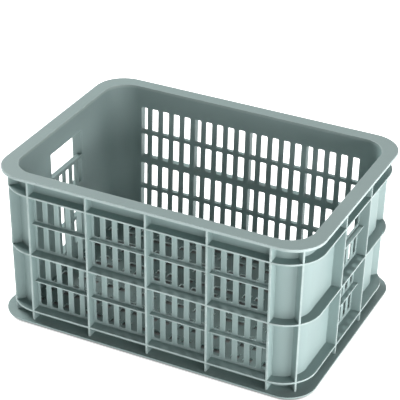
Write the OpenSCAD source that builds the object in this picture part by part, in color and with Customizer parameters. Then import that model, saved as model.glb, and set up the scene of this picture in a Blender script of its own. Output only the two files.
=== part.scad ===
// Open, ventilated crate: slotted long walls, a hand-hole in each end,
// rings of flat bands and upright ribs outside, a broad rim, a base flange, and
// a foot under it that seats in the rim of a crate below.
// Millimetres. X is along the length, the front is -Y, Z is up, and the
// origin is on the ground under the middle of the crate.

/* [Overall] */
// Length over the rim
rim_l = 500; // [420:1:620]
// Width over the rim
rim_w = 363.5; // [300:0.5:460]
// Height from the ground to the top of the rim
crate_h = 248; // [200:1:320]

/* [Rim] */
// Thickness of the rim plate
rim_t = 4.6; // [2.5:0.1:6]
// How far the rim stands out past the ribs
rim_lip = 3.2; // [1:0.1:8]
// Outer corner radius of the rim
rim_corner_r = 48.5; // [20:0.5:58]

/* [Walls] */
// Thickness of the walls
wall_t = 2.2; // [1.5:0.1:3.5]
// Lean of the walls from upright, in degrees
wall_lean = 1.15; // [0:0.05:2.5]
// Inner corner radius of the walls, at the rim
corner_r = 39; // [28:0.5:48]

/* [Bands] */
// Thickness of the bands that run round the outside
band_t = 2.8; // [1.5:0.1:4]
// From the top of the rim down to the middle of the upper band
upper_band_drop = 29.5; // [16:0.5:40]
// From the ground up to the middle of the lower band
lower_band_z = 22.4; // [15:0.1:35]

/* [Ribs] */
// Thickness of the upright ribs
rib_t = 2.8; // [1.5:0.1:4]
// How far the ribs and bands stand out from the wall
rib_d = 15.5; // [9:0.5:20]
// From the start of a corner curve in to the middle of the nearest rib
rib_edge = 1.6; // [0.8:0.1:6]
// Number of bays between the ribs of a long wall
bays = 4; // [2:1:6]

/* [Slots] */
// Columns of slots in one bay
columns = 5; // [2:1:6]
// Width of a slot
slot_w = 10.4; // [6:0.1:12]
// Corner radius of a slot
slot_r = 2; // [1:0.1:2.8]
// From the middle of a band to the end of the nearest slots
slot_edge = 5.6; // [3:0.1:10]
// Height of the bar between two rows of slots
slot_bar = 5.6; // [4:0.1:10]
// Thickness of the rail along that bar
rail_t = 2; // [1.2:0.1:3.5]
// How far the rail stands out from the wall
rail_d = 7.8; // [3:0.1:9]

/* [Hand-holes] */
// Width of a hand-hole
grip_w = 91; // [80:1:120]
// From the side of a hand-hole to the middle of the rib beside it
grip_jamb = 2.3; // [1.5:0.1:8]

/* [Floor] */
// Thickness of the floor
floor_t = 3.5; // [2:0.1:4.5]
// Spacing of the groups of four openings, both ways
floor_pitch = 49.6; // [46:0.1:70]
// Size of an opening along the crate
floor_hole_l = 13.6; // [6:0.1:17]
// Size of an opening across the crate
floor_hole_w = 10.8; // [6:0.1:16]
// Bar between the two openings of a group along the crate
floor_bar_l = 6.4; // [3:0.1:10]
// Bar between the two openings of a group across the crate
floor_bar_w = 8.6; // [3:0.1:10]
// Plain border between the openings and the walls
floor_border = 4; // [3:0.5:20]

/* [Base] */
// How far the foot reaches down below the base flange
foot_h = 5; // [4:0.1:8]
// Thickness of the base flange
base_t = 2.4; // [1.5:0.1:5]
// How far the base flange stands out past the ribs
base_lip = 6.8; // [0:0.1:10]
// Outer corner radius of the base flange
base_corner_r = 43.7; // [20:0.1:56]

/* [Hidden] */

$fn = 64;
sage = [0.58, 0.68, 0.665];
// How far a cut runs past the faces that it cuts through
over = 1;
SIDES = ["front", "rear", "left", "right"];
CORNERS = ["rear_right", "rear_left", "front_left", "front_right"];

// Outward distances are measured from the inner face of the wall
rib_reach = wall_t + rib_d;
rim_reach = rib_reach + rim_lip;
base_reach = rib_reach + base_lip;
inner_half_l = rim_l / 2 - rim_reach;
inner_half_w = rim_w / 2 - rim_reach;

// Levels
rim_z = crate_h - rim_t;
upper_band_z = crate_h - upper_band_drop;
mid_band_z = (upper_band_z + lower_band_z) / 2;
base_top = foot_h + base_t;
storey_h = (upper_band_z - lower_band_z) / 2;
slot_h = (storey_h - 2 * slot_edge - slot_bar) / 2;
BAND_Z = [lower_band_z, mid_band_z, upper_band_z];

// The middles of the slot rows, from the lowest, and of the bars between the rows of a storey
ROW_Z = [for (z = [lower_band_z, mid_band_z], k = [0, 1])
    z + slot_edge + slot_h / 2 + k * (slot_h + slot_bar)];
RAIL_Z = [for (z = [lower_band_z, mid_band_z]) z + storey_h / 2];
grip_low = ROW_Z[3] - slot_h / 2;
grip_high = ROW_Z[3] + slot_h / 2;

// Upright stretches of a rib, between the base, the bands and the rim
RIB_Z = [
    [base_top, lower_band_z - band_t / 2],
    [lower_band_z + band_t / 2, mid_band_z - band_t / 2],
    [mid_band_z + band_t / 2, upper_band_z - band_t / 2],
    [upper_band_z + band_t / 2, rim_z]
];

// Plan of the corners, ribs and columns
corner_x = inner_half_l - corner_r;
corner_y = inner_half_w - corner_r;
rib_pitch = 2 * (corner_x - rib_edge) / bays;
end_rib_y = grip_w / 2 + grip_jamb;
column_pitch = rib_pitch / columns;
end_column_pitch = 2 * end_rib_y / columns;
LONG_RIBS = [for (k = [0:bays]) (k - bays / 2) * rib_pitch];
END_RIBS = [-end_rib_y, end_rib_y];
LONG_COLUMNS = [for (k = [0:bays * columns - 1]) (k - (bays * columns - 1) / 2) * column_pitch];
END_COLUMNS = [for (k = [0:columns - 1]) (k - (columns - 1) / 2) * end_column_pitch];

// The walls are plumb up to the top of the floor and lean out from there to the rim
function leaned(z) = tan(wall_lean) * (rim_z - z);
function inset(z) = leaned(max(z, floor_t));

// Plan of the floor and its openings
floor_half_l = inner_half_l - inset(0);
floor_half_w = inner_half_w - inset(0);
floor_corner_r = corner_r - inset(0);
function hole_places(half, bar, hole) = [
    for (k = [-ceil(half / floor_pitch):ceil(half / floor_pitch) - 1], to = [-1, 1])
        (k + 0.5) * floor_pitch + to * (bar + hole) / 2
];
HOLE_X = hole_places(floor_half_l, floor_bar_l, floor_hole_l);
HOLE_Y = hole_places(floor_half_w, floor_bar_w, floor_hole_w);

// Names and turns of the sides
function is_long(s) = s == "front" || s == "rear";
function side_turn(s) = s == "rear" ? 0 : s == "left" ? 90 : s == "front" ? 180 : 270;
function side_reach(s) = is_long(s) ? inner_half_w : inner_half_l;
function side_half(s) = is_long(s) ? corner_x : corner_y;
function side_ribs(s) = is_long(s) ? LONG_RIBS : END_RIBS;

// Upright outline between two levels and two distances out from the inner face
function leaning(z0, z1, d0, d1) = let (
    levels = z0 < floor_t && z1 > floor_t ? [z0, floor_t, z1] : [z0, z1]
) concat(
    [for (z = levels) [d0 - inset(z), z]],
    [for (k = [len(levels) - 1:-1:0]) [d1 - inset(levels[k]), levels[k]]]
);

// A side's own frame: X along the wall, Y outward from the inner face at the rim
module on_side(s) {
    rotate([0, 0, side_turn(s)]) translate([0, side_reach(s), 0]) children();
}

// A corner's own frame: the centre of its curve, with the curve in the quarter +X +Y
module at_corner(k) {
    rotate([0, 0, 90 * k])
        translate(k % 2 == 0 ? [corner_x, corner_y, 0] : [corner_y, corner_x, 0])
        children();
}

module bar_along(x0, x1, outline) {
    translate([x0, 0, 0]) rotate([90, 0, 90]) linear_extrude(x1 - x0) polygon(outline);
}

module corner_bend(outline, angle = 90) {
    rotate_extrude(angle = angle) translate([corner_r, 0]) polygon(outline);
}

module slot_outline(w, h, r) {
    square([w, h - 2 * r], center = true);
    square([w - 2 * r, h], center = true);
    for (x = [-1, 1], y = [-1, 1]) translate([x * (w / 2 - r), y * (h / 2 - r)]) circle(r);
}

// Slots through a wall, for some of the rows
module slots(xs, rows) {
    depth = wall_t + inset(0) + 2 * over;
    for (x = xs, k = rows)
        translate([x, wall_t + over, ROW_Z[k]]) rotate([90, 0, 0])
            linear_extrude(depth) slot_outline(slot_w, slot_h, slot_r);
}

// Quarter of a flat ring round a corner, with its own outer radius
module corner_plate(reach, r_in, r_out) {
    r = min(r_out, reach);
    intersection() {
        square(reach);
        difference() {
            union() {
                square([reach, reach - r]);
                square([reach - r, reach]);
                translate([reach - r, reach - r]) circle(r);
            }
            circle(r_in);
        }
    }
}

// Floor: a plate with groups of four openings, clear of the border
function floor_clear(x, y) = let (
    to_x = abs(x) + floor_hole_l / 2,
    to_y = abs(y) + floor_hole_w / 2,
    past = [max(to_x - corner_x, 0), max(to_y - corner_y, 0)]
) to_x < floor_half_l - floor_border && to_y < floor_half_w - floor_border
    && norm(past) < floor_corner_r - floor_border;

module floor_outline() {
    square([2 * corner_x, 2 * floor_half_w], center = true);
    square([2 * floor_half_l, 2 * corner_y], center = true);
    for (x = [-1, 1], y = [-1, 1]) translate([x * corner_x, y * corner_y]) circle(floor_corner_r);
}

module floor_holes() {
    for (x = HOLE_X, y = HOLE_Y)
        if (floor_clear(x, y)) translate([x, y]) square([floor_hole_l, floor_hole_w], center = true);
}

module floor_grid() {
    color(sage) linear_extrude(floor_t) difference() {
        floor_outline();
        floor_holes();
    }
}

// Walls
module long_wall(s) {
    color(sage) on_side(s) difference() {
        bar_along(-corner_x, corner_x, leaning(0, rim_z, 0, wall_t));
        slots(LONG_COLUMNS, [0:3]);
    }
}

// Plain part of an end, beside the hand-hole; to is +1 or -1 along the side's own X
module end_panel(s, to) {
    from = to > 0 ? grip_w / 2 : -corner_y;
    color(sage) on_side(s)
        bar_along(from, from + corner_y - grip_w / 2, leaning(0, rim_z, 0, wall_t));
}

module vent_panel(s) {
    color(sage) on_side(s) difference() {
        bar_along(-grip_w / 2, grip_w / 2, leaning(0, grip_low, 0, wall_t));
        slots(END_COLUMNS, [0:2]);
    }
}

module grip_bridge(s) {
    color(sage) on_side(s)
        bar_along(-grip_w / 2, grip_w / 2, leaning(grip_high, rim_z, 0, wall_t));
}

module corner_wall(k) {
    color(sage) at_corner(k) corner_bend(leaning(0, rim_z, 0, wall_t));
}

// Rim
module rim_side(s) {
    color(sage) on_side(s) translate([-side_half(s), 0, rim_z])
        cube([2 * side_half(s), rim_reach, rim_t]);
}

module rim_corner(k) {
    color(sage) at_corner(k) translate([0, 0, rim_z]) linear_extrude(rim_t)
        corner_plate(corner_r + rim_reach, corner_r, rim_corner_r);
}

// Bands
function band_outline(z) = leaning(z - band_t / 2, z + band_t / 2, wall_t, rib_reach);

module band_side(s, z) {
    color(sage) on_side(s) bar_along(-side_half(s), side_half(s), band_outline(z));
}

module band_corners(k) {
    color(sage) at_corner(k) for (z = BAND_Z) corner_bend(band_outline(z));
}

// Base flange: against the leaning wall inside, upright outside
base_out = base_reach - inset(foot_h);

module base_side(s) {
    outline = [
        [wall_t - inset(foot_h), foot_h], [base_out, foot_h],
        [base_out, base_top], [wall_t - inset(base_top), base_top]
    ];
    color(sage) on_side(s) bar_along(-side_half(s), side_half(s), outline);
}

module base_corner(k) {
    low = foot_h - over;
    high = base_top + over;
    wall = [
        [-corner_r / 2, low], [wall_t - leaned(low), low],
        [wall_t - leaned(high), high], [-corner_r / 2, high]
    ];
    color(sage) at_corner(k) difference() {
        translate([0, 0, foot_h]) linear_extrude(base_t)
            corner_plate(corner_r + base_out, floor_corner_r, base_corner_r);
        corner_bend(wall, 360);
    }
}

// Ribs, cut where the bands run through them
module side_ribs_of(s) {
    color(sage) on_side(s) for (x = side_ribs(s), z = RIB_Z)
        bar_along(x - rib_t / 2, x + rib_t / 2, leaning(z[0], z[1], wall_t, rib_reach));
}

module corner_ribs() {
    bend = rib_t / (corner_r + wall_t + rib_d / 2) * 180 / PI;
    color(sage) for (k = [0:3], z = RIB_Z)
        at_corner(k) rotate([0, 0, 45 - bend / 2])
            corner_bend(leaning(z[0], z[1], wall_t, rib_reach), bend);
}

// Rails along the bars between the slot rows, from rib to rib
module rails_of(s) {
    ribs = side_ribs(s);
    color(sage) on_side(s) for (k = [0:len(ribs) - 2], z = RAIL_Z)
        bar_along(
            ribs[k] + rib_t / 2, ribs[k + 1] - rib_t / 2,
            leaning(z - rail_t / 2, z + rail_t / 2, wall_t, wall_t + rail_d)
        );
}

floor_grid();
for (s = ["front", "rear"])
    long_wall(s);
for (s = ["left", "right"]) {
    to_rear = s == "left" ? 1 : -1;
    end_panel(s, -to_rear);
    end_panel(s, to_rear);
    vent_panel(s);
    grip_bridge(s);
}
for (k = [0:3]) {
    corner_wall(k);
    rim_corner(k);
    band_corners(k);
    base_corner(k);
}
for (s = SIDES) {
    rim_side(s);
    band_side(s, upper_band_z);
    band_side(s, mid_band_z);
    band_side(s, lower_band_z);
    base_side(s);
    side_ribs_of(s);
    rails_of(s);
}
corner_ribs();
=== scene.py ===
"""Looks of an open, ventilated transport crate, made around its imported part.

Lengths are in metres, in the part's own frame: X along the length, the front at -Y, Z up from the ground.
Each piece is a surface worked out with numpy: a profile carried along a path, or a sheet of pierced cells.
"""

import math

import bmesh
import bpy
import numpy as np
from bpy.props import FloatProperty, FloatVectorProperty, IntProperty, PointerProperty
from mathutils import Matrix, Vector


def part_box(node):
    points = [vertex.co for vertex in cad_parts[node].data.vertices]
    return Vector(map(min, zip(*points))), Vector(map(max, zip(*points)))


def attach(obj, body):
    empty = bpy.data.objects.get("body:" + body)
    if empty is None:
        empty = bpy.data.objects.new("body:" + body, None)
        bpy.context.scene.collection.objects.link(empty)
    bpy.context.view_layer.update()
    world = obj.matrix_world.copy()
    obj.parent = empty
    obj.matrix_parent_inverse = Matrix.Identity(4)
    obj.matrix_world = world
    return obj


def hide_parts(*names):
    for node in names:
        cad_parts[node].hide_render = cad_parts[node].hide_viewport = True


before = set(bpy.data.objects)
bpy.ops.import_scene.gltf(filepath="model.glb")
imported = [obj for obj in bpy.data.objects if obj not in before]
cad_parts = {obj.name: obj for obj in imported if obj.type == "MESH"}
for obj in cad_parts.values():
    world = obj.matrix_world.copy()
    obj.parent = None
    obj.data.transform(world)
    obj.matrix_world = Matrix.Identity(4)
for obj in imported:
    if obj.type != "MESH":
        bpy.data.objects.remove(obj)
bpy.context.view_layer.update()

bl_info = {
    "name": "Ventilated Crate",
    "version": (1, 0, 0),
    "blender": (4, 5, 0),
    "location": "3D View > Sidebar > Crate",
    "description": "Builds the moulded look of an open, ventilated crate around its packed part",
    "category": "Add Mesh",
}

BODY = "root"
MM = 0.001
SIDES = ("rear", "left", "front", "right")
LONG_SIDES = ("rear", "front")
CORNERS = {"rear_right": (1, 1), "rear_left": (-1, 1), "front_left": (-1, -1), "front_right": (1, -1)}
BANDS = ("lower", "mid", "upper")
EDGE_MARK = "edge"
HOLE_SLOT = "hole_plastic"
WELD = 1e-6
SHARP = math.radians(50)
ARC_STEPS = 3
ARC_POINTS = ARC_STEPS + 1


def low(node):
    """Lowest corner of a node."""
    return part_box(node)[0]


def high(node):
    """Highest corner of a node."""
    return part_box(node)[1]


# Rim: its levels, its half sizes, and the plan of the inner corners under it
RIM_LOW = low("front_rim").z
RIM_TOP = high("front_rim").z
RIM_L = high("right_rim").x
RIM_W = high("rear_rim").y
INNER_L = low("right_rim").x
INNER_W = low("rear_rim").y
CORNER_X = high("front_rim").x
CORNER_Y = high("right_rim").y
CORNER_R = INNER_L - CORNER_X

# Floor, and the walls' lean from it up to the rim
FLOOR_LOW = low("floor_grid").z
FLOOR_TOP = high("floor_grid").z
FLOOR_L = high("floor_grid").x
FLOOR_W = high("floor_grid").y
LEAN = (INNER_L - FLOOR_L) / (RIM_LOW - FLOOR_TOP)

# Distances out from the inner face of the walls
WALL_T = high("right_grip_bridge").x - INNER_L
RIB_REACH = high("right_ribs").x - INNER_L

# Bands, base flange and hand-holes
BAND_Z = [(low(f"rear_{b}_band").z + high(f"rear_{b}_band").z) / 2 for b in BANDS]
BAND_T = high("rear_mid_band").z - low("rear_mid_band").z
BASE_LOW = low("rear_base_flange").z
BASE_TOP = high("rear_base_flange").z
BASE_L = high("right_base_flange").x
BASE_W = high("rear_base_flange").y
GRIP_HALF = high("right_grip_bridge").y
GRIP_LOW = high("right_vent_panel").z
GRIP_HIGH = low("right_grip_bridge").z


class CrateSizes(bpy.types.PropertyGroup):
    """Sizes of the crate's moulded detail."""

    rim_corner: FloatProperty(
        name="Rim corner",
        description="Outer corner radius of the rim",
        default=48.5 * MM,
        subtype="DISTANCE",
    )
    base_corner: FloatProperty(
        name="Base corner",
        description="Outer corner radius of the base flange",
        default=43.7 * MM,
        subtype="DISTANCE",
    )
    corner_steps: IntProperty(
        name="Corner steps",
        description="Facets round a quarter turn of a corner",
        default=24,
        min=4,
    )
    rim_round: FloatProperty(
        name="Rim rounding",
        description="Rounding of the rim's edges",
        default=0.4 * MM,
        subtype="DISTANCE",
    )
    edge_round: FloatProperty(
        name="Edge rounding",
        description="Rounding of the outer edges of ribs, bands and rails",
        default=0.3 * MM,
        subtype="DISTANCE",
    )
    root_flare: FloatProperty(
        name="Root flare",
        description="Hollow fillet where a rib, band or rail grows out of the wall",
        default=0.7 * MM,
        subtype="DISTANCE",
    )
    # Reach of the paler edges: rubbing, and the painted highlight that stands in for the light edges catch.
    wear_reach: FloatProperty(
        name="Wear reach",
        description="How far the rubbed look runs in from an edge",
        default=4 * MM,
        subtype="DISTANCE",
    )
    rib_t: FloatProperty(
        name="Rib thickness",
        description="Thickness of the upright ribs",
        default=2.8 * MM,
        subtype="DISTANCE",
    )
    rail_t: FloatProperty(
        name="Rail thickness",
        description="Thickness of the rails between the slot rows",
        default=2 * MM,
        subtype="DISTANCE",
    )
    rail_d: FloatProperty(
        name="Rail depth",
        description="How far the rails stand out from the wall",
        default=7.8 * MM,
        subtype="DISTANCE",
    )
    bays: IntProperty(
        name="Bays",
        description="Bays between the ribs of a long wall",
        default=4,
        min=1,
    )
    columns: IntProperty(
        name="Columns",
        description="Columns of slots in one bay",
        default=5,
        min=1,
    )
    slot_w: FloatProperty(
        name="Slot width",
        description="Width of a ventilation slot",
        default=10.4 * MM,
        subtype="DISTANCE",
    )
    slot_edge: FloatProperty(
        name="Slot edge",
        description="From the middle of a band to the end of the nearest slots",
        default=5.6 * MM,
        subtype="DISTANCE",
    )
    slot_bar: FloatProperty(
        name="Slot bar",
        description="Height of the bar between two rows of slots",
        default=5.6 * MM,
        subtype="DISTANCE",
    )
    slot_corner: FloatProperty(
        name="Slot corner",
        description="Corner radius of a slot",
        default=2 * MM,
        subtype="DISTANCE",
    )
    grip_corner: FloatProperty(
        name="Hand-hole corner",
        description="Corner radius of a hand-hole",
        default=0.8 * MM,
        subtype="DISTANCE",
    )
    hole_round: FloatProperty(
        name="Slot rounding",
        description="Rounding of the edges of slots and hand-holes",
        default=0.35 * MM,
        subtype="DISTANCE",
    )
    floor_pitch: FloatProperty(
        name="Floor pitch",
        description="Spacing of the groups of four openings, both ways",
        default=49.6 * MM,
        subtype="DISTANCE",
    )
    floor_hole: FloatVectorProperty(
        name="Floor openings",
        description="Size of an opening along the length and across it",
        default=(13.6 * MM, 10.8 * MM),
        size=2,
        subtype="XYZ_LENGTH",
    )
    floor_bar: FloatVectorProperty(
        name="Floor bars",
        description="Bars between the openings of a group, along the length and across it",
        default=(6.4 * MM, 8.6 * MM),
        size=2,
        subtype="XYZ_LENGTH",
    )
    foot_edge: FloatProperty(
        name="Foot edge",
        description="How far the foot's edge stands below the underside of the floor",
        default=0.3 * MM,
        subtype="DISTANCE",
    )
    floor_border: FloatProperty(
        name="Floor border",
        description="Plain border between the floor's openings and the walls",
        default=4 * MM,
        subtype="DISTANCE",
    )


class CrateColours(bpy.types.PropertyGroup):
    """Colours of the plastic, as linear light."""

    plastic: FloatVectorProperty(
        name="Plastic",
        description="Sage grey-green of the moulded plastic",
        default=(0.19, 0.272, 0.265),
        size=3,
        subtype="COLOR",
    )
    # This paler tone is rubbing and also a painted highlight where edges catch the light.
    rubbed: FloatVectorProperty(
        name="Rubbed plastic",
        description="Paler tone where edges are rubbed",
        default=(0.32, 0.405, 0.396),
        size=3,
        subtype="COLOR",
    )
    # Painted highlight: a pale colour on the walls of the floor's openings that stands in for the light they
    # catch.
    cut: FloatVectorProperty(
        name="Cut edges",
        description="Colour of the bright walls of the openings in the floor",
        default=(0.66, 0.78, 0.765),
        size=3,
        subtype="COLOR",
    )
    soil: FloatVectorProperty(
        name="Soil",
        description="Fine grey dust near the ground and on the floor",
        default=(0.16, 0.18, 0.168),
        size=3,
        subtype="COLOR",
    )


class CrateStage(bpy.types.PropertyGroup):
    """Camera, lights and floor."""

    camera_place: FloatVectorProperty(
        name="Camera place",
        description="Where the camera stands",
        default=(0.88756, -1.85046, 1.35198),
        size=3,
        subtype="XYZ_LENGTH",
    )
    camera_azimuth: FloatProperty(
        name="Camera azimuth",
        description="Turn of the view round the crate, from the front towards the right",
        default=math.radians(25.678),
        subtype="ANGLE",
    )
    camera_elevation: FloatProperty(
        name="Camera elevation",
        description="How far the view looks down",
        default=math.radians(29.858),
        subtype="ANGLE",
    )
    camera_roll: FloatProperty(
        name="Camera roll",
        description="Tilt of the picture's upright",
        default=math.radians(1.0548),
        subtype="ANGLE",
    )
    camera_lens: FloatProperty(
        name="Camera lens",
        description="Focal length in millimetres on a sensor 36 mm wide",
        default=144.654,
    )
    sky: FloatProperty(
        name="Sky light",
        description="Strength of the even light from all round",
        default=0.08,
    )
    floor_glow: FloatProperty(
        name="Floor glow",
        description="How strongly the white floor is lit from below, as on a light table",
        default=1.0,
    )
    floor_tone: FloatVectorProperty(
        name="Floor tone",
        description="Pale tone of the floor",
        default=(0.9, 0.9, 0.9),
        size=3,
        subtype="COLOR",
    )
    # Painted shadow: a dark floor colour under the crate that stands in for the shade there.
    floor_shade: FloatVectorProperty(
        name="Floor shade",
        description="Colour of the floor where the crate stands on it",
        default=(0.2, 0.19, 0.19),
        size=3,
        subtype="COLOR",
    )


def inset(up):
    """How far the walls stand in from the rim at a height: plumb up to the floor, then leaning out evenly."""
    return LEAN * (RIM_LOW - np.maximum(up, FLOOR_TOP))


def on_side(side, along, out, up):
    """Points of a side: along the wall, out from its leaning inner face, and up, turned to face its way."""
    turn = math.radians(90 * SIDES.index(side))
    reach = (INNER_W if side in LONG_SIDES else INNER_L) + out - inset(up)
    along, reach, up = np.broadcast_arrays(along, reach, up)
    x = along * math.cos(turn) - reach * math.sin(turn)
    y = along * math.sin(turn) + reach * math.cos(turn)
    return np.stack([x, y, up], -1)


def quarter(steps, start=0.0):
    """Unit directions over a quarter turn from a start angle in degrees."""
    angle = np.radians(start + np.linspace(0, 90, steps + 1))
    return np.stack([np.cos(angle), np.sin(angle)], -1)


def rounded_loop(half_l, half_w, radius, steps):
    """A rounded rectangle as one closed loop, corner by corner: its points and its outward normals."""
    centre = np.array([half_l - radius, half_w - radius])
    signs = np.array([(1, 1), (-1, 1), (-1, -1), (1, -1)])
    normals = np.stack([quarter(steps, 90 * k) for k in range(4)])
    points = signs[:, None] * centre + radius * normals
    return points.reshape(-1, 2), normals.reshape(-1, 2)


def ringed(stations, marks):
    """A closed profile carried round a closed path: stations[path, profile, xyz], joined by quads."""
    steps, points = stations.shape[:2]
    here = np.arange(steps * points).reshape(steps, points)
    there = np.roll(here, -1, 0)
    quads = np.stack([here, np.roll(here, -1, 1), np.roll(there, -1, 1), there], -1)
    return stations.reshape(-1, 3), quads.reshape(-1, 4).tolist(), np.tile(marks, steps)


def carried(stations, marks):
    """A closed profile carried along an open path: stations[path, profile, xyz], with a face at each end."""
    steps, points = stations.shape[:2]
    index = np.arange(steps * points).reshape(steps, points)
    here, there = index[:-1], index[1:]
    quads = np.stack([here, np.roll(here, -1, 1), np.roll(there, -1, 1), there], -1)
    ends = [index[0, ::-1].tolist(), index[-1].tolist()]
    return stations.reshape(-1, 3), quads.reshape(-1, 4).tolist() + ends, np.tile(marks, steps)


def plate_profile(bottom, top, inner_round, outer_round, fade):
    """Profile of a flat ring with rounded edges: rows of edge (0 inner, 1 outer), distance in, height, mark.

    Each edge is a quarter circle, and a row a little way in ends there the paler look of rubbing and of the
    painted edge highlight.
    """
    run, drop = 1 - quarter(ARC_STEPS).T
    ones = np.ones(ARC_POINTS)
    inner_top = [(0, 0, top, 0)]
    if inner_round:
        inner_arc = np.stack([0 * ones, inner_round * run, top - inner_round * drop, ones], -1)
        inner_top = [*inner_arc, (0, fade, top, 0)]
    outer_top = np.stack([ones, outer_round * run, top - outer_round * drop, ones], -1)[::-1]
    outer_low = np.stack([ones, outer_round * run, bottom + outer_round * drop, ones], -1)
    return np.concatenate([
        [(0, 0, bottom, 0)],
        inner_top,
        [(1, fade, top, 0)],
        outer_top,
        outer_low,
        [(1, fade, bottom, 0)],
    ])


def plate_ring(inner, outer, profile):
    """A flat ring between two loops: each row of the profile stands in from the inner or the outer loop."""
    edge, inward, height, marks = profile.T
    (inner_at, inner_out), (outer_at, outer_out) = inner, outer
    step = inward[None, :, None]
    near = inner_at[:, None] + inner_out[:, None] * step
    far = outer_at[:, None] - outer_out[:, None] * step
    plan = np.where(edge[None, :, None] > 0, far, near)
    level = np.broadcast_to(height, plan.shape[:2])[..., None]
    return ringed(np.concatenate([plan, level], -1), marks)


def fin_profile(half, tip, sizes):
    """Section of a thin fin, as rows of distance out, distance across and mark.

    From its root inside the wall, a hollow quarter circle narrows it to its own thickness, and
    quarter circles round its outer edges.
    """
    flare = sizes.root_flare
    rounding = sizes.edge_round
    hollow = np.array([WALL_T + flare, half + flare]) + flare * quarter(ARC_STEPS, 180)
    crown = np.array([tip - rounding, half - rounding]) + rounding * quarter(ARC_STEPS)[::-1]
    rows = [(WALL_T / 2, half + flare), *hollow, (tip - sizes.wear_reach, half), *crown]
    marks = np.concatenate([np.zeros(len(rows) - len(crown)), np.ones(len(crown))])
    upper = np.column_stack([rows, marks])
    return np.concatenate([upper, upper[::-1] * (1, -1, 1)])


def window(along, up, hole_along, hole_up, corner, rounding):
    """One pierced cell of a wall, as points (along, out, up), faces and marks.

    along lists the points of its lower and upper borders, and up its two levels. The hole is a rounded
    rectangle whose edges are chamfered on both faces, so four rings of points run through the wall.
    """
    arcs = np.concatenate([quarter(ARC_STEPS, start) for start in (180, 270, 0, 90)])
    signs = np.repeat([(-1, -1), (1, -1), (1, 1), (-1, 1)], ARC_POINTS, 0)
    middle = np.array([sum(hole_along), sum(hole_up)]) / 2
    half = np.array([hole_along[1] - hole_along[0], hole_up[1] - hole_up[0]]) / 2
    tight = middle + signs * (half - corner) + corner * arcs
    wide = tight + rounding * arcs
    rings = [(wide, 0), (tight, rounding), (tight, WALL_T - rounding), (wide, WALL_T)]
    columns = len(along)
    border = np.concatenate([np.column_stack([along, np.full(columns, level)]) for level in up])
    layers = [(border, 0), *rings, (border, WALL_T)]
    points = np.concatenate([
        np.column_stack([flat[:, 0], np.full(len(flat), out), flat[:, 1]]) for flat, out in layers
    ])
    count = len(tight)
    first_ring = 2 * columns
    last_border = first_ring + len(rings) * count
    ring = np.arange(first_ring, last_border).reshape(-1, count)
    faces = []
    for here, there in zip(ring[:-1], ring[1:]):
        faces += np.stack([here, np.roll(here, -1), np.roll(there, -1), there], -1).tolist()
    for edge, start in ((ring[0], 0), (ring[-1], last_border)):
        lower = list(range(start, start + columns))
        upper = list(range(start + columns, start + 2 * columns))
        corners = (lower[0], lower[-1], upper[-1], upper[0])
        runs = (lower, (lower[-1], upper[-1]), upper[::-1], (upper[0], lower[0]))
        arc_points = edge.reshape(-1, ARC_POINTS).tolist()
        next_arcs = arc_points[1:] + arc_points[:1]
        for corner_at, run, arc, next_arc in zip(corners, runs, arc_points, next_arcs):
            faces.append([*run, next_arc[0], arc[-1]])
            faces.append([corner_at, *arc[::-1]])
    marks = np.concatenate([np.zeros(2 * columns), np.ones(ring.size), np.zeros(2 * columns)])
    return points, faces, marks


def plain_cell(along, up):
    """A cell with no hole: its two faces, between the same borders as a pierced one."""
    columns = len(along)
    border = np.concatenate([np.column_stack([along, np.full(columns, level)]) for level in up])
    points = np.concatenate([
        np.column_stack([border[:, 0], np.full(2 * columns, out), border[:, 1]]) for out in (0, WALL_T)
    ])
    loop = [*range(columns), *range(2 * columns - 1, columns - 1, -1)]
    return points, [loop, [2 * columns + i for i in loop]], np.zeros(4 * columns)


def sheet_edges(along, up):
    """Strips that close a sheet's border, between its two faces."""
    walk = [(a, up[0]) for a in along]
    walk += [(along[-1], u) for u in up[1:]]
    walk += [(a, up[-1]) for a in along[-2::-1]]
    walk += [(along[0], u) for u in up[-2:0:-1]]
    walk = np.array(walk)
    count = len(walk)
    points = np.concatenate([
        np.column_stack([walk[:, 0], np.full(count, out), walk[:, 1]]) for out in (0, WALL_T)
    ])
    here = np.arange(count)
    there = np.roll(here, -1)
    quads = np.stack([here, there, there + count, here + count], -1)
    return points, quads.tolist(), np.zeros(2 * count)


def joined(parts):
    """Several (points, faces, marks) as one."""
    faces = []
    first = 0
    for points, part_faces, _ in parts:
        faces += [[first + i for i in face] for face in part_faces]
        first += len(points)
    return np.concatenate([p[0] for p in parts]), faces, np.concatenate([p[2] for p in parts])


def make_piece(name, parts, slot, nodes):
    """Makes one welded, closed mesh of the parts, facing outwards, that stands for the named nodes."""
    points, faces, marks = joined(parts)
    mesh = bpy.data.meshes.new(name)
    mesh.from_pydata(points.tolist(), [], faces)
    mesh.attributes.new(EDGE_MARK, "FLOAT", "POINT").data.foreach_set("value", marks)
    shape = bmesh.new()
    shape.from_mesh(mesh)
    bmesh.ops.remove_doubles(shape, verts=shape.verts, dist=WELD)
    bmesh.ops.recalc_face_normals(shape, faces=shape.faces)
    shape.to_mesh(mesh)
    shape.free()
    mesh.shade_smooth()
    mesh.set_sharp_from_angle(angle=SHARP)
    mesh.materials.append(plastic_material(slot))
    piece = bpy.data.objects.new(name, mesh)
    bpy.context.scene.collection.objects.link(piece)
    shading = piece.modifiers.new("Flat faces", "WEIGHTED_NORMAL")
    shading.keep_sharp = True
    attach(piece, BODY)
    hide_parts(*nodes)
    return piece


def slot_rows(sizes):
    """Lower and upper ends of the slot rows, from the lowest row."""
    storey = (BAND_Z[2] - BAND_Z[0]) / 2
    height = (storey - 2 * sizes.slot_edge - sizes.slot_bar) / 2
    starts = [z + sizes.slot_edge + k * (height + sizes.slot_bar) for z in BAND_Z[:2] for k in (0, 1)]
    return [(start, start + height) for start in starts]


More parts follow.
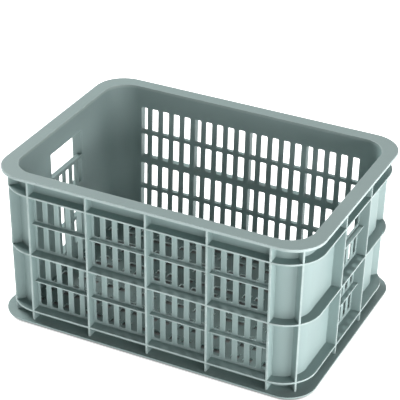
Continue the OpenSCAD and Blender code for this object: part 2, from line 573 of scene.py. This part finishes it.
def rail_levels():
    """Heights of the rails: halfway between neighbouring bands."""
    return [(BAND_Z[0] + BAND_Z[1]) / 2, (BAND_Z[1] + BAND_Z[2]) / 2]


def sheet_levels():
    """Heights where the cells of a pierced wall meet, from the ground to the rim."""
    rails = rail_levels()
    return [0, FLOOR_TOP, rails[0], BAND_Z[1], rails[1], BAND_Z[2], RIM_LOW]


def rib_places(side, sizes):
    """Where the ribs of a side stand along it: the outermost from the frame, the others evenly between."""
    node = f"{side}_ribs"
    outer = (high(node).x if side in LONG_SIDES else high(node).y) - sizes.rib_t / 2
    bays = sizes.bays if side in LONG_SIDES else 1
    return np.linspace(-outer, outer, bays + 1)


def pierced_wall(side, along, sizes, grip):
    """Parts of a slotted wall: a cell for each slot, plain cells above and below, and closed borders.

    With grip, the top row is one wide cell with the hand-hole.
    """
    levels = sheet_levels()
    rows = slot_rows(sizes)
    cells = [plain_cell(along, levels[0:2]), plain_cell(along, levels[5:7])]
    cells.append(sheet_edges(along, levels))
    if grip:
        hole = (-GRIP_HALF, GRIP_HALF)
        reach = (GRIP_LOW, GRIP_HIGH)
        cells.append(window(along, levels[4:6], hole, reach, sizes.grip_corner, sizes.hole_round))
    for k in range(3 if grip else 4):
        for start, end in zip(along[:-1], along[1:]):
            middle = (start + end) / 2
            hole = (middle - sizes.slot_w / 2, middle + sizes.slot_w / 2)
            span = (start, end)
            storey = levels[k + 1:k + 3]
            cells.append(window(span, storey, hole, rows[k], sizes.slot_corner, sizes.hole_round))
    return [(on_side(side, *points.T), faces, marks) for points, faces, marks in cells]


class CRATE_OT_long_walls(bpy.types.Operator):
    """The two slotted long walls"""

    bl_idname = "crate.long_walls"
    bl_label = "Long walls"

    def execute(self, context):
        sizes = context.scene.crate_sizes
        for side in LONG_SIDES:
            ribs = rib_places(side, sizes)
            along = np.linspace(ribs[0], ribs[-1], sizes.bays * sizes.columns + 1)
            parts = pierced_wall(side, along, sizes, False)
            make_piece(f"wall_{side}", parts, "wall_plastic", [f"{side}_wall"])
        return {"FINISHED"}


class CRATE_OT_end_bays(bpy.types.Operator):
    """The middle of each end, with its hand-hole over three rows of slots"""

    bl_idname = "crate.end_bays"
    bl_label = "End bays"

    def execute(self, context):
        sizes = context.scene.crate_sizes
        for side in ("left", "right"):
            ribs = rib_places(side, sizes)
            along = np.linspace(ribs[0], ribs[-1], sizes.columns + 1)
            nodes = [f"{side}_vent_panel", f"{side}_grip_bridge"]
            make_piece(f"end_bay_{side}", pierced_wall(side, along, sizes, True), "wall_plastic", nodes)
        return {"FINISHED"}


class CRATE_OT_corner_shells(bpy.types.Operator):
    """The four corners with the plain part of the end beside each: a wall section carried round the corner"""

    bl_idname = "crate.corner_shells"
    bl_label = "Corner shells"

    def execute(self, context):
        sizes = context.scene.crate_sizes
        start = rib_places("rear", sizes)[-1]
        end = rib_places("right", sizes)[-1]
        bend = quarter(sizes.corner_steps)[::-1]
        path = np.concatenate([
            [(start, INNER_W)],
            np.array([CORNER_X, CORNER_Y]) + CORNER_R * bend,
            [(INNER_L, end)],
        ])
        normals = np.concatenate([[(0, 1)], bend, [(1, 0)]])
        levels = np.array([0, FLOOR_TOP, RIM_LOW])
        heights = np.concatenate([levels, levels[::-1]])
        out = np.repeat([0, WALL_T], 3) - inset(heights)
        plan = path[:, None] + normals[:, None] * out[None, :, None]
        tall = np.broadcast_to(heights, plan.shape[:2])[..., None]
        for corner, signs in CORNERS.items():
            stations = np.concatenate([plan * signs, tall], -1)
            end_part, end_side = corner.split("_")
            nodes = [f"{corner}_corner_wall", f"{end_side}_{end_part}_panel"]
            make_piece(f"corner_shell_{corner}", [carried(stations, np.zeros(6))], "wall_plastic", nodes)
        return {"FINISHED"}


class CRATE_OT_rim(bpy.types.Operator):
    """The flat rim all round the top"""

    bl_idname = "crate.rim"
    bl_label = "Rim"

    def execute(self, context):
        sizes = context.scene.crate_sizes
        inner = rounded_loop(INNER_L, INNER_W, CORNER_R, sizes.corner_steps)
        outer = rounded_loop(RIM_L, RIM_W, sizes.rim_corner, sizes.corner_steps)
        profile = plate_profile(RIM_LOW, RIM_TOP, sizes.rim_round, sizes.rim_round, sizes.wear_reach)
        nodes = [f"{side}_rim" for side in SIDES] + [f"{corner}_rim_corner" for corner in CORNERS]
        make_piece("rim_ring", [plate_ring(inner, outer, profile)], "rim_plastic", nodes)
        return {"FINISHED"}


class CRATE_OT_bands(bpy.types.Operator):
    """The three bands round the outside: a fin's section carried round the crate at each level"""

    bl_idname = "crate.bands"
    bl_label = "Bands"

    def execute(self, context):
        sizes = context.scene.crate_sizes
        out, across, marks = fin_profile(BAND_T / 2, RIB_REACH, sizes).T
        parts = []
        for level in BAND_Z:
            back = inset(level)
            at, normals = rounded_loop(INNER_L - back, INNER_W - back, CORNER_R - back, sizes.corner_steps)
            plan = at[:, None] + normals[:, None] * out[None, :, None]
            tall = np.broadcast_to(level + across, plan.shape[:2])[..., None]
            parts.append(ringed(np.concatenate([plan, tall], -1), marks))
        nodes = [f"{side}_{band}_band" for side in SIDES for band in BANDS]
        nodes += [f"{corner}_band_corners" for corner in CORNERS]
        make_piece("band_rings", parts, "rib_plastic", nodes)
        return {"FINISHED"}


class CRATE_OT_base(bpy.types.Operator):
    """The flat flange round the foot"""

    bl_idname = "crate.base"
    bl_label = "Base flange"

    def execute(self, context):
        sizes = context.scene.crate_sizes
        bury = WALL_T / 2 - inset(BASE_LOW)
        inner = rounded_loop(INNER_L + bury, INNER_W + bury, CORNER_R + bury, sizes.corner_steps)
        outer = rounded_loop(BASE_L, BASE_W, sizes.base_corner, sizes.corner_steps)
        profile = plate_profile(BASE_LOW, BASE_TOP, 0, sizes.edge_round, sizes.wear_reach)
        nodes = [f"{side}_base_flange" for side in SIDES] + [f"{corner}_base_corner" for corner in CORNERS]
        make_piece("base_ring", [plate_ring(inner, outer, profile)], "base_plastic", nodes)
        return {"FINISHED"}


def rib_levels():
    """Stations of a rib, from inside the base flange to inside the rim."""
    return np.array([(BASE_LOW + BASE_TOP) / 2, (RIM_LOW + RIM_TOP) / 2])


class CRATE_OT_ribs(bpy.types.Operator):
    """The upright ribs: a fin's section carried up the leaning wall"""

    bl_idname = "crate.ribs"
    bl_label = "Ribs"

    def execute(self, context):
        sizes = context.scene.crate_sizes
        out, across, marks = fin_profile(sizes.rib_t / 2, RIB_REACH, sizes).T
        up = rib_levels()[:, None]
        for side in SIDES:
            ribs = [carried(on_side(side, at + across, out, up), marks) for at in rib_places(side, sizes)]
            make_piece(f"ribs_{side}", ribs, "rib_plastic", [f"{side}_ribs"])
        ribs = []
        radial = (CORNER_R + out - inset(up)) * math.sqrt(0.5)
        sideways = across * math.sqrt(0.5)
        tall = np.broadcast_to(up, radial.shape)
        for sign_x, sign_y in CORNERS.values():
            x = sign_x * (CORNER_X + radial - sideways)
            y = sign_y * (CORNER_Y + radial + sideways)
            ribs.append(carried(np.stack([x, y, tall], -1), marks))
        make_piece("ribs_corner", ribs, "rib_plastic", ["corner_ribs"])
        return {"FINISHED"}


class CRATE_OT_rails(bpy.types.Operator):
    """The rails between the slot rows: a shallow fin's section carried along the wall, through the ribs"""

    bl_idname = "crate.rails"
    bl_label = "Rails"

    def execute(self, context):
        sizes = context.scene.crate_sizes
        out, across, marks = fin_profile(sizes.rail_t / 2, WALL_T + sizes.rail_d, sizes).T
        for side in SIDES:
            along = rib_places(side, sizes)[[0, -1], None]
            rails = [carried(on_side(side, along, out, level + across), marks) for level in rail_levels()]
            make_piece(f"rails_{side}", rails, "rib_plastic", [f"{side}_rails"])
        return {"FINISHED"}


class CRATE_OT_floor_grille(bpy.types.Operator):
    """The floor: a plate of bars and openings on a grid, drawn in to the rounded corners"""

    bl_idname = "crate.floor_grille"
    bl_label = "Floor grille"

    def execute(self, context):
        sizes = context.scene.crate_sizes
        bury = WALL_T / 2
        radius = FLOOR_L - CORNER_X
        ends = np.array([FLOOR_L, FLOOR_W])
        lines = [
            self.grid_lines(end, bury, sizes.floor_border, sizes.floor_pitch, hole, bar)
            for end, hole, bar in zip(ends, sizes.floor_hole, sizes.floor_bar)
        ]
        x, y = np.meshgrid(*lines, indexing="ij")
        past = np.stack([np.abs(x) - CORNER_X, np.abs(y) - CORNER_Y], -1)
        far = np.linalg.norm(np.maximum(past, 0), axis=-1)
        in_corner = (past > 0).all(-1)
        outside = in_corner & (far > radius + bury)
        pull = np.where(outside, (radius + bury) / np.maximum(far, WELD), 1)
        flat_x = np.where(in_corner, np.sign(x) * (CORNER_X + past[..., 0] * pull), x)
        flat_y = np.where(in_corner, np.sign(y) * (CORNER_Y + past[..., 1] * pull), y)
        points = np.stack([flat_x, flat_y, np.full(x.shape, FLOOR_TOP)], -1).reshape(-1, 3)
        index = np.arange(x.size).reshape(x.shape)
        cells = np.stack([index[:-1, :-1], index[1:, :-1], index[1:, 1:], index[:-1, 1:]], -1)
        i, j = np.indices(cells.shape[:2])
        clear = ~in_corner | (far < radius - sizes.floor_border)
        corners_clear = clear[:-1, :-1] & clear[1:, :-1] & clear[1:, 1:] & clear[:-1, 1:]
        opening = (i % 2 == 1) & (j % 2 == 1) & corners_clear
        lost = outside[:-1, :-1] & outside[1:, :-1] & outside[1:, 1:] & outside[:-1, 1:]
        faces = cells[~opening & ~lost]
        used, renumbered = np.unique(faces, return_inverse=True)
        faces = renumbered.reshape(faces.shape).tolist()
        part = (points[used], faces, np.zeros(len(used)))
        piece = make_piece("floor_grille", [part], "floor_plastic", ["floor_grid"])
        piece.data.materials.append(plastic_material(HOLE_SLOT))
        piece.modifiers.remove(piece.modifiers["Flat faces"])
        plate = piece.modifiers.new("Plate", "SOLIDIFY")
        plate.thickness = FLOOR_TOP - FLOOR_LOW - sizes.foot_edge
        plate.offset = -1
        plate.material_offset_rim = 1
        rounding = piece.modifiers.new("Rounding", "BEVEL")
        rounding.width = sizes.hole_round
        rounding.segments = 2
        rounding.limit_method = "ANGLE"
        rounding.angle_limit = SHARP
        piece.modifiers.new("Flat faces", "WEIGHTED_NORMAL").keep_sharp = True
        return {"FINISHED"}

    def grid_lines(self, end, bury, border, pitch, hole, bar):
        """Edges of the openings one way, in order, between the two buried ends of the plate."""
        groups = math.ceil(end / pitch)
        middles = (np.arange(-groups, groups) + 0.5) * pitch
        centres = (middles[:, None] + np.array([-1, 1]) * (bar + hole) / 2).ravel()
        centres = centres[np.abs(centres) + hole / 2 < end - border]
        edges = (centres[:, None] + np.array([-1, 1]) * hole / 2).ravel()
        return np.concatenate([[-end - bury], edges, [end + bury]])


# How each slot is finished: grain depth, paler edges (rubbing, and a painted highlight for the light edges
# catch), even paling (rubbing on the rim, a painted highlight on the walls of the floor's openings), scuffs,
# soil, its top and roughness
FINISHES = {
    "wall_plastic": (0.14, 0.25, 0.0, 0.06, 0.22, 0.035, 0.58),
    "rim_plastic": (0.12, 0.40, 0.35, 0.25, 0.0, 0.02, 0.55),
    "rib_plastic": (0.12, 0.75, 0.0, 0.10, 0.18, 0.03, 0.56),
    "floor_plastic": (0.20, 0.20, 0.0, 0.30, 0.50, 0.05, 0.62),
    # The walls of the floor's openings take the pale hole highlight evenly: a painted highlight, not rubbing.
    HOLE_SLOT: (0.10, 0.0, 0.9, 0.10, 0.0, 0.05, 0.55),
    "base_plastic": (0.14, 0.15, 0.0, 0.25, 0.25, 0.03, 0.58),
}
CLOUDINESS = 0.16
SOIL_DULLS = 0.4
SCUFF_DULLS = 0.25
SCUFF_CUTS = -0.5
BUMP_STRENGTH = 0.5
BUMP_DEPTH = 0.3 * MM


def effect_group(name, inputs, output):
    """A new shader node group that puts out one value: its tree, its input node and its output node."""
    tree = bpy.data.node_groups.new(name, "ShaderNodeTree")
    for label, value in inputs.items():
        socket = tree.interface.new_socket(label, in_out="INPUT", socket_type="NodeSocketFloat")
        socket.default_value = value
    tree.interface.new_socket(output, in_out="OUTPUT", socket_type="NodeSocketFloat")
    return tree, tree.nodes.new("NodeGroupInput"), tree.nodes.new("NodeGroupOutput")


def noise(tree, scale, detail, stretch=(1, 1, 1)):
    """Noise over Object coordinates, with stretched cells where asked."""
    place = tree.nodes.new("ShaderNodeTexCoord")
    pull = tree.nodes.new("ShaderNodeMapping")
    pull.inputs["Scale"].default_value = stretch
    texture = tree.nodes.new("ShaderNodeTexNoise")
    texture.inputs["Scale"].default_value = scale
    texture.inputs["Detail"].default_value = detail
    tree.links.new(place.outputs["Object"], pull.inputs["Vector"])
    tree.links.new(pull.outputs["Vector"], texture.inputs["Vector"])
    return texture.outputs["Fac"]


def spread(tree, value, start, end, to_start=0.0, to_end=1.0):
    """A value brought from one range smoothly to another."""
    node = tree.nodes.new("ShaderNodeMapRange")
    node.interpolation_type = "SMOOTHSTEP"
    for name, number in (("From Min", start), ("From Max", end), ("To Min", to_start), ("To Max", to_end)):
        node.inputs[name].default_value = number
    tree.links.new(value, node.inputs["Value"])
    return node.outputs["Result"]


def combine(tree, kind, first, second, third=None):
    """A Math node of two or three values, each a socket or a number."""
    node = tree.nodes.new("ShaderNodeMath")
    node.operation = kind
    for socket, value in zip(node.inputs, (first, second, third)):
        if isinstance(value, (int, float)):
            socket.default_value = value
        elif value is not None:
            tree.links.new(value, socket)
    return node.outputs["Value"]


def moulded_grain():
    """Fine spark-eroded grain of the mould over slow ripples of the shrunk plastic."""
    tree, start, end = effect_group("Moulded grain", {"Depth": 0.1}, "Height")
    fine = noise(tree, 1100, 2)
    ripple = noise(tree, 38, 2)
    both = combine(tree, "MULTIPLY_ADD", ripple, 2.0, fine)
    tree.links.new(combine(tree, "MULTIPLY", both, start.outputs["Depth"]), end.inputs["Height"])
    return tree


def cloudy_tone():
    """Slow unevenness of the dyed plastic, around one."""
    tree, start, end = effect_group("Cloudy tone", {"Amount": 0.06}, "Tone")
    cloud = combine(tree, "SUBTRACT", noise(tree, 11, 4), 0.5)
    tree.links.new(combine(tree, "MULTIPLY_ADD", cloud, start.outputs["Amount"], 1.0), end.inputs["Tone"])
    return tree


def edge_rubbing_and_highlight():
    """Paler edges, partly from rubbing and partly a painted highlight for the light that edges catch: the
    piece's own edge mark, broken up by noise.
    """
    tree, start, end = effect_group("Edge rubbing and highlight", {"Amount": 0.3}, "Mask")
    mark = tree.nodes.new("ShaderNodeAttribute")
    mark.attribute_name = EDGE_MARK
    edge = spread(tree, mark.outputs["Fac"], 0.35, 1.0)
    patches = spread(tree, noise(tree, 65, 4), 0.3, 0.7, 0.45, 1.0)
    paler = combine(tree, "MULTIPLY", edge, patches)
    tree.links.new(combine(tree, "MULTIPLY", paler, start.outputs["Amount"]), end.inputs["Mask"])
    return tree


def scuffs():
    """Fine scratches, some along the length and some across it, in patches."""
    tree, start, end = effect_group("Scuffs", {"Amount": 0.3}, "Mask")
    lengthways = spread(tree, noise(tree, 1, 2, (28, 900, 900)), 0.60, 0.72)
    across = spread(tree, noise(tree, 1, 2, (760, 34, 760)), 0.62, 0.74)
    patches = spread(tree, noise(tree, 17, 2), 0.42, 0.62)
    lines = combine(tree, "MAXIMUM", lengthways, across)
    marked = combine(tree, "MULTIPLY", lines, patches)
    tree.links.new(combine(tree, "MULTIPLY", marked, start.outputs["Amount"]), end.inputs["Mask"])
    return tree


def settled_soil():
    """Dust that thins out with height and lies in patches."""
    tree, start, end = effect_group("Settled soil", {"Amount": 0.3, "Top": 0.03}, "Mask")
    place = tree.nodes.new("ShaderNodeTexCoord")
    axes = tree.nodes.new("ShaderNodeSeparateXYZ")
    tree.links.new(place.outputs["Object"], axes.inputs["Vector"])
    fall = combine(tree, "DIVIDE", axes.outputs["Z"], start.outputs["Top"])
    near = spread(tree, fall, 1.0, 0.0)
    patches = spread(tree, noise(tree, 24, 5), 0.3, 0.75)
    lying = combine(tree, "MULTIPLY", near, patches)
    tree.links.new(combine(tree, "MULTIPLY", lying, start.outputs["Amount"]), end.inputs["Mask"])
    return tree


def place_effect(tree, make, values):
    """Puts an effect's node group into a material with its own values, and returns its output."""
    name = make.__name__.replace("_", " ").capitalize()
    node = tree.nodes.new("ShaderNodeGroup")
    node.node_tree = bpy.data.node_groups.get(name) or make()
    for label, value in values.items():
        node.inputs[label].default_value = value
    return node.outputs[0]


def blend_colour(tree, kind, first, second, factor):
    """A Mix node of colours: first is a socket or a colour, second a colour or a value to tint by."""
    node = tree.nodes.new("ShaderNodeMix")
    node.data_type = "RGBA"
    node.blend_type = kind
    sockets = {socket.identifier: socket for socket in node.inputs}
    pairs = (("Factor_Float", factor), ("A_Color", first), ("B_Color", second))
    for name, value in pairs:
        if isinstance(value, bpy.types.NodeSocket):
            tree.links.new(value, sockets[name])
        elif name == "Factor_Float":
            sockets[name].default_value = value
        else:
            sockets[name].default_value = (*value, 1)
    return {socket.identifier: socket for socket in node.outputs}["Result_Color"]


def plastic_material(slot):
    """The moulded plastic of a material slot, made once."""
    name = f"moulded_{slot}"
    if name in bpy.data.materials:
        return bpy.data.materials[name]
    colours = bpy.context.scene.crate_colours
    depth, rubbing_and_highlight_amount, handling_and_highlight, scuff_amount, soil_amount, soil_top, rough = FINISHES[slot]
    material = bpy.data.materials.new(name)
    material.use_nodes = True
    tree = material.node_tree
    shader = tree.nodes["Principled BSDF"]
    grain = place_effect(tree, moulded_grain, {"Depth": depth})
    tone = place_effect(tree, cloudy_tone, {"Amount": CLOUDINESS})
    # The edge mask is partly rubbing and partly a painted highlight for the light that edges catch.
    rubbing_and_highlight = place_effect(tree, edge_rubbing_and_highlight, {"Amount": rubbing_and_highlight_amount})
    scuff = place_effect(tree, scuffs, {"Amount": scuff_amount})
    soil = place_effect(tree, settled_soil, {"Amount": soil_amount, "Top": soil_top})
    # Paler tone mixed in by rubbing and scuffs, by the painted highlight on edges, and on the walls of the
    # floor's openings by an even painted highlight.
    rubbed = combine(tree, "ADD", combine(tree, "MAXIMUM", rubbing_and_highlight, scuff), handling_and_highlight)
    paler = colours.cut if slot == HOLE_SLOT else colours.rubbed
    colour = blend_colour(tree, "MIX", colours.plastic, paler, rubbed)
    colour = blend_colour(tree, "MIX", colour, colours.soil, soil)
    colour = blend_colour(tree, "MULTIPLY", colour, tone, 1.0)
    tree.links.new(colour, shader.inputs["Base Color"])
    dulled = combine(tree, "MULTIPLY_ADD", soil, SOIL_DULLS, rough)
    roughness = combine(tree, "MULTIPLY_ADD", scuff, SCUFF_DULLS, dulled)
    tree.links.new(roughness, shader.inputs["Roughness"])
    bump = tree.nodes.new("ShaderNodeBump")
    bump.inputs["Strength"].default_value = BUMP_STRENGTH
    bump.inputs["Distance"].default_value = BUMP_DEPTH
    height = combine(tree, "MULTIPLY_ADD", scuff, SCUFF_CUTS, grain)
    tree.links.new(height, bump.inputs["Height"])
    tree.links.new(bump.outputs["Normal"], shader.inputs["Normal"])
    return material


# Soft lights: azimuth from the front towards the right, elevation, distance, width, height, watts and colour
LIGHTS = {
    "light_left": (-104, 28, 6.0, 1.6, 1.6, 370, (1, 1, 1)),
    "light_rear_left": (-122, 30, 6.0, 1.6, 1.6, 190, (1, 1, 1)),
    "light_rear": (180, 32, 6.0, 1.6, 1.6, 95, (1, 1, 1)),
    "light_right": (90, 1, 3.0, 1.0, 0.2, 54, (1, 0.92, 0.93)),
    "light_right_over": (90, 9, 3.0, 1.0, 0.5, 25, (1, 0.92, 0.93)),
    "light_right_front": (73, 9, 3.0, 1.0, 0.5, 38, (1, 0.92, 0.93)),
    "light_front_right": (44, 2, 3.0, 1.0, 0.3, 27, (1, 0.94, 0.95)),
    "light_front": (6, 15, 3.0, 1.0, 0.5, 14, (1, 0.93, 0.93)),
}
LIGHT_AIM = (0, 0, 0.12)
SKY_COLOUR = (1, 0.92, 0.92, 1)
FLOOR_HALF = 15.0
FLOOR_FADE = 8 * MM


class CRATE_OT_stage(bpy.types.Operator):
    """The pale floor, the soft lights and the camera"""

    bl_idname = "crate.stage"
    bl_label = "Stage"

    def execute(self, context):
        scene = context.scene
        stage = scene.crate_stage
        scene.view_settings.view_transform = "Standard"
        self.lay_floor(scene, stage)
        self.set_sky(scene, stage)
        self.hang_lights(scene)
        self.place_camera(scene, stage)
        return {"FINISHED"}

    def lay_floor(self, scene, stage):
        """A flat floor, far larger than the view."""
        half = FLOOR_HALF
        mesh = bpy.data.meshes.new("studio_floor")
        corners = [(-half, -half, 0), (half, -half, 0), (half, half, 0), (-half, half, 0)]
        mesh.from_pydata(corners, [], [(0, 1, 2, 3)])
        material = bpy.data.materials.new("studio_floor")
        material.use_nodes = True
        tree = material.node_tree
        shader = tree.nodes["Principled BSDF"]
        shader.inputs["Roughness"].default_value = 0.9
        shader.inputs["Emission Strength"].default_value = stage.floor_glow
        clear = self.clear_floor(tree, scene.crate_sizes.base_corner)
        tree.links.new(clear, shader.inputs["Emission Color"])
        # Painted shadow: under the crate the floor takes the dark shade colour, and its glow is off there.
        shade = blend_colour(tree, "MIX", stage.floor_shade, stage.floor_tone, clear)
        tree.links.new(shade, shader.inputs["Base Color"])
        mesh.materials.append(material)
        floor = bpy.data.objects.new("studio_floor", mesh)
        scene.collection.objects.link(floor)

    def clear_floor(self, tree, corner):
        """One on the open floor and none under the crate, by the distance from a rounded rectangle."""
        place = tree.nodes.new("ShaderNodeTexCoord")
        distance = place.outputs["Object"]
        straight = (BASE_L - corner, BASE_W - corner, 0)
        steps = (("ABSOLUTE", None), ("SUBTRACT", straight), ("MAXIMUM", (0, 0, 0)), ("LENGTH", None))
        for kind, value in steps:
            node = tree.nodes.new("ShaderNodeVectorMath")
            node.operation = kind
            tree.links.new(distance, node.inputs[0])
            if value:
                node.inputs[1].default_value = value
            distance = node.outputs["Value" if kind == "LENGTH" else "Vector"]
        return spread(tree, distance, corner - FLOOR_FADE, corner)

    def hang_lights(self, scene):
        """Soft area lights, each facing the middle of the crate."""
        for name, (azimuth, elevation, reach, width, height, watts, colour) in LIGHTS.items():
            turn, rise = math.radians(azimuth), math.radians(elevation)
            away = Vector((math.sin(turn) * math.cos(rise), -math.cos(turn) * math.cos(rise), math.sin(rise)))
            data = bpy.data.lights.new(name, "AREA")
            data.shape = "RECTANGLE"
            data.size = width
            data.size_y = height
            data.energy = watts
            data.color = colour
            light = bpy.data.objects.new(name, data)
            light.location = Vector(LIGHT_AIM) + reach * away
            light.rotation_euler = away.to_track_quat("Z", "Y").to_euler()
            scene.collection.objects.link(light)

    def set_sky(self, scene, stage):
        """Even light from all round."""
        world = bpy.data.worlds.new("studio")
        world.use_nodes = True
        background = world.node_tree.nodes["Background"]
        background.inputs["Color"].default_value = SKY_COLOUR
        background.inputs["Strength"].default_value = stage.sky
        scene.world = world

    def place_camera(self, scene, stage):
        """A long lens that looks down at the front right corner, turned by azimuth, elevation and roll."""
        turn, tilt, roll = stage.camera_azimuth, stage.camera_elevation, stage.camera_roll
        ahead = Vector((-math.sin(turn) * math.cos(tilt), math.cos(turn) * math.cos(tilt), -math.sin(tilt)))
        level = Vector((math.cos(turn), math.sin(turn), 0))
        upright = level.cross(ahead)
        right = level * math.cos(roll) + upright * math.sin(roll)
        up = upright * math.cos(roll) - level * math.sin(roll)
        data = bpy.data.cameras.new("camera")
        data.lens = stage.camera_lens
        data.clip_start = 0.05
        data.clip_end = 100
        camera = bpy.data.objects.new("camera", data)
        axes = Matrix((right, up, -ahead)).transposed()
        camera.matrix_world = Matrix.Translation(stage.camera_place) @ axes.to_4x4()
        scene.collection.objects.link(camera)
        scene.camera = camera


OPERATORS = (
    CRATE_OT_stage,
    CRATE_OT_long_walls,
    CRATE_OT_end_bays,
    CRATE_OT_corner_shells,
    CRATE_OT_rim,
    CRATE_OT_bands,
    CRATE_OT_base,
    CRATE_OT_ribs,
    CRATE_OT_rails,
    CRATE_OT_floor_grille,
)


class CRATE_PT_panel(bpy.types.Panel):
    """Lists the crate's pieces, sizes and colours"""

    bl_idname = "CRATE_PT_panel"
    bl_label = "Ventilated crate"
    bl_space_type = "VIEW_3D"
    bl_region_type = "UI"
    bl_category = "Crate"

    def draw(self, context):
        for operator in OPERATORS:
            self.layout.operator(operator.bl_idname)
        for group in (context.scene.crate_sizes, context.scene.crate_colours, context.scene.crate_stage):
            for name in group.__annotations__:
                self.layout.prop(group, name)


GROUPS = {"crate_sizes": CrateSizes, "crate_colours": CrateColours, "crate_stage": CrateStage}


def register():
    for group in GROUPS.values():
        bpy.utils.register_class(group)
    for name, group in GROUPS.items():
        setattr(bpy.types.Scene, name, PointerProperty(type=group))
    for operator in OPERATORS:
        bpy.utils.register_class(operator)
    bpy.utils.register_class(CRATE_PT_panel)


def unregister():
    bpy.utils.unregister_class(CRATE_PT_panel)
    for operator in reversed(OPERATORS):
        bpy.utils.unregister_class(operator)
    for name, group in GROUPS.items():
        delattr(bpy.types.Scene, name)
        bpy.utils.unregister_class(group)


def main():
    """Makes every piece in order."""
    register()
    for operator in OPERATORS:
        group, name = operator.bl_idname.split(".")
        getattr(getattr(bpy.ops, group), name)()


if __name__ == "__main__":
    main()
